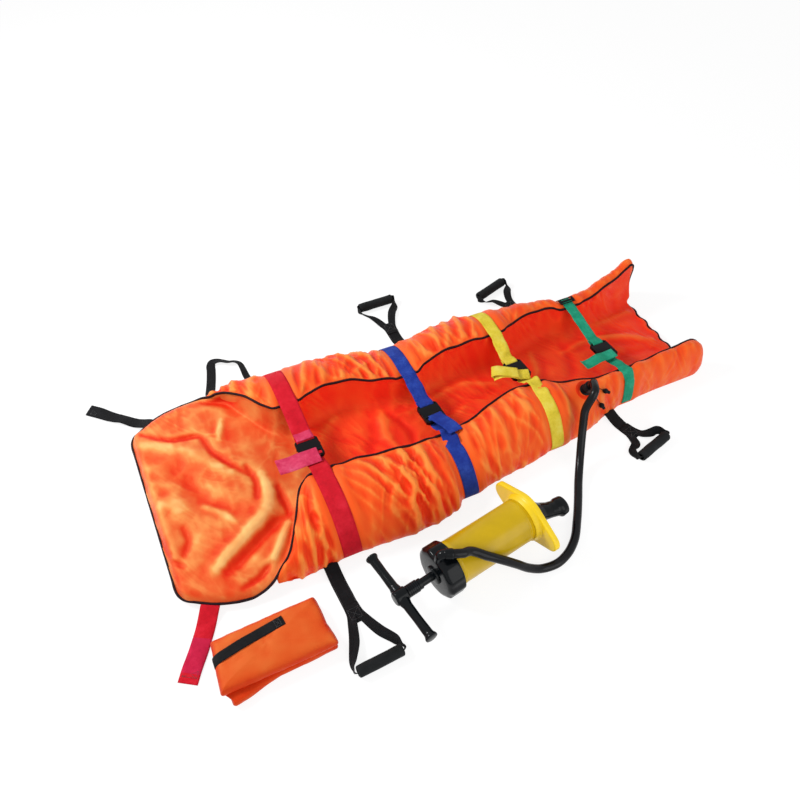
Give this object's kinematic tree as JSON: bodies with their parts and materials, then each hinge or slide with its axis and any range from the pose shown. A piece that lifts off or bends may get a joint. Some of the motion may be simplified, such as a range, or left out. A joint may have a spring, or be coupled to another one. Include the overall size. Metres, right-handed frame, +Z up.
{
  "type": "vacuum stretcher",
  "caption": "Bead-filled vacuum mattress rolled up at both sides, with buckled patient straps, carrying handles, hand pump on its hose and a carry pouch.",
  "frame": {"origin": "on the floor under the middle of the mattress", "axes": "+X from the head end to the foot end, +Y to the far side of the mattress, +Z up"},
  "size_m": [1.8498, 1.2175, 0.205],
  "materials": {
    "orange_cover": "satin coated nylon",
    "inner_cover": "satin coated nylon",
    "welt": "matt piping cord",
    "red_webbing": "woven webbing",
    "blue_webbing": "woven webbing",
    "yellow_webbing": "woven webbing",
    "green_webbing": "woven webbing",
    "black_webbing": "woven webbing",
    "grip_foam": "matt foam",
    "black_moulding": "moulded, half gloss",
    "pump_black": "gloss moulded",
    "pump_yellow": "gloss moulded",
    "hose_black": "smooth, half gloss",
    "seal_rubber": "matt",
    "valve_red": "welded patch"
  },
  "bodies": {
    "mattress": {"buckle_blue_plug": "black_moulding", "buckle_blue_socket": "black_moulding", "buckle_green_plug": "black_moulding", "buckle_green_socket": "black_moulding", "buckle_red_plug": "black_moulding", "buckle_red_socket": "black_moulding", "buckle_yellow_plug": "black_moulding", "buckle_yellow_socket": "black_moulding", "edge_piping": "welt", "head_flap": "orange_cover", "hose": "hose_black", "hose_fitting": "black_moulding", "mattress_floor": "inner_cover", "pouch": "orange_cover", "pouch_strap": "black_webbing", "pump_barrel": "pump_yellow", "pump_base": "pump_yellow", "pump_cap": "pump_black", "pump_inlet": "pump_black", "release_stopper": "black_moulding", "side_roll_far": "orange_cover", "side_roll_near": "orange_cover", "strap_blue_far": "blue_webbing", "strap_blue_near": "blue_webbing", "strap_green_far": "green_webbing", "strap_green_ladder": "black_moulding", "strap_green_near": "green_webbing", "strap_red_far": "red_webbing", "strap_red_near": "red_webbing", "strap_yellow_far": "yellow_webbing", "strap_yellow_near": "yellow_webbing", "valve_body": "black_moulding", "valve_patch": "valve_red", "valve_stopper": "black_moulding"},
    "handle_1": {"handle_1_webbing": "black_webbing"},
    "handle_1_grip_body": {"handle_1_grip": "grip_foam"},
    "handle_2": {"handle_2_webbing": "black_webbing"},
    "handle_2_grip_body": {"handle_2_grip": "grip_foam"},
    "handle_3": {"handle_3_webbing": "black_webbing"},
    "handle_3_grip_body": {"handle_3_grip": "grip_foam"},
    "handle_4": {"handle_4_webbing": "black_webbing"},
    "handle_4_grip_body": {"handle_4_grip": "grip_foam"},
    "head_loop_body": {"head_loop": "black_webbing"},
    "head_strap_red_body": {"head_strap_red": "red_webbing"},
    "head_strap_black_body": {"head_strap_black": "black_webbing"},
    "plunger": {"pump_rod": "pump_black", "pump_piston": "pump_black", "piston_seal": "seal_rubber", "pump_handle": "pump_black"},
    "tab_red_head": {"buckle_red_tab_head": "black_moulding"},
    "tab_red_foot": {"buckle_red_tab_foot": "black_moulding"},
    "tab_blue_head": {"buckle_blue_tab_head": "black_moulding"},
    "tab_blue_foot": {"buckle_blue_tab_foot": "black_moulding"},
    "tab_yellow_head": {"buckle_yellow_tab_head": "black_moulding"},
    "tab_yellow_foot": {"buckle_yellow_tab_foot": "black_moulding"},
    "tab_green_head": {"buckle_green_tab_head": "black_moulding"},
    "tab_green_foot": {"buckle_green_tab_foot": "black_moulding"}
  },
  "joints": [
    {"name": "handle_1_swing", "type": "hinge", "parent": "mattress", "child": "handle_1", "pos_m": [-0.463, -0.35142, 0.02], "axis": [-0.9989, -0.0473, 0], "range_deg": [0, 95]},
    {"name": "handle_1_grip_turn", "type": "hinge", "parent": "handle_1", "child": "handle_1_grip_body", "pos_m": [-0.44782, -0.64103, 0.016], "axis": [-0.9986, -0.0523, 0], "continuous": true},
    {"name": "handle_2_swing", "type": "hinge", "parent": "mattress", "child": "handle_2", "pos_m": [0.055, 0.30441, 0.02], "axis": [1, 0.0033, 0], "range_deg": [0, 95]},
    {"name": "handle_2_grip_turn", "type": "hinge", "parent": "handle_2", "child": "handle_2_grip_body", "pos_m": [0.055, 0.53441, 0.016], "axis": [1, 0, 0], "continuous": true},
    {"name": "handle_3_swing", "type": "hinge", "parent": "mattress", "child": "handle_3", "pos_m": [0.515, 0.24682, 0.02], "axis": [0.9447, -0.3278, 0], "range_deg": [0, 95]},
    {"name": "handle_3_grip_turn", "type": "hinge", "parent": "handle_3", "child": "handle_3_grip_body", "pos_m": [0.45505, 0.43132, 0.016], "axis": [0.9511, 0.309, 0], "continuous": true},
    {"name": "handle_4_swing", "type": "hinge", "parent": "mattress", "child": "handle_4", "pos_m": [0.505, -0.22126, 0.02], "axis": [-0.9595, -0.2816, 0], "range_deg": [0, 95]},
    {"name": "handle_4_grip_turn", "type": "hinge", "parent": "handle_4", "child": "handle_4_grip_body", "pos_m": [0.55186, -0.38468, 0.016], "axis": [-0.9613, -0.2756, 0], "continuous": true},
    {"name": "head_loop_swing", "type": "hinge", "parent": "mattress", "child": "head_loop_body", "pos_m": [-0.52, 0.35396, 0.02], "axis": [0.998, -0.0628, 0], "range_deg": [0, 95]},
    {"name": "head_strap_red_swing", "type": "hinge", "parent": "mattress", "child": "head_strap_red_body", "pos_m": [-0.782, -0.32966, 0.018], "axis": [-0.8766, 0.4812, 0], "range_deg": [0, 95]},
    {"name": "head_strap_black_swing", "type": "hinge", "parent": "mattress", "child": "head_strap_black_body", "pos_m": [-0.788, 0.32982, 0.018], "axis": [0.8844, 0.4668, 0], "range_deg": [0, 95]},
    {"name": "plunger_slide", "type": "slide", "parent": "mattress", "child": "plunger", "axis": [-0.9851, -0.1719, 0], "range_m": [-0.033, 0.2]},
    {"name": "tab_red_head_press", "type": "hinge", "parent": "mattress", "child": "tab_red_head", "pos_m": [-0.4209, -0.04521, 0.11351], "axis": [0, -0.1038, -0.9946], "range_deg": [0, 18], "stiffness_Nm_per_rad": 0.4},
    {"name": "tab_red_foot_press", "type": "hinge", "parent": "mattress", "child": "tab_red_foot", "pos_m": [-0.3711, -0.04521, 0.11351], "axis": [0, 0.1038, 0.9946], "range_deg": [0, 18], "stiffness_Nm_per_rad": 0.4},
    {"name": "tab_blue_head_press", "type": "hinge", "parent": "mattress", "child": "tab_blue_head", "pos_m": [-0.0434, -0.05522, 0.09241], "axis": [0, -0.1045, -0.9945], "range_deg": [0, 18], "stiffness_Nm_per_rad": 0.4},
    {"name": "tab_blue_foot_press", "type": "hinge", "parent": "mattress", "child": "tab_blue_foot", "pos_m": [0.0034, -0.05522, 0.09241], "axis": [0, 0.1045, 0.9945], "range_deg": [0, 18], "stiffness_Nm_per_rad": 0.4},
    {"name": "tab_yellow_head_press", "type": "hinge", "parent": "mattress", "child": "tab_yellow_head", "pos_m": [0.2656, -0.02122, 0.10641], "axis": [0, -0.1045, -0.9945], "range_deg": [0, 18], "stiffness_Nm_per_rad": 0.4},
    {"name": "tab_yellow_foot_press", "type": "hinge", "parent": "mattress", "child": "tab_yellow_foot", "pos_m": [0.3104, -0.02122, 0.10641], "axis": [0, 0.1045, 0.9945], "range_deg": [0, 18], "stiffness_Nm_per_rad": 0.4},
    {"name": "tab_green_head_press", "type": "hinge", "parent": "mattress", "child": "tab_green_head", "pos_m": [0.5631, -0.05721, 0.09902], "axis": [0, -0.0976, -0.9952], "range_deg": [0, 18], "stiffness_Nm_per_rad": 0.4},
    {"name": "tab_green_foot_press", "type": "hinge", "parent": "mattress", "child": "tab_green_foot", "pos_m": [0.6049, -0.05721, 0.09902], "axis": [0, 0.0976, 0.9952], "range_deg": [0, 18], "stiffness_Nm_per_rad": 0.4}
  ]
}
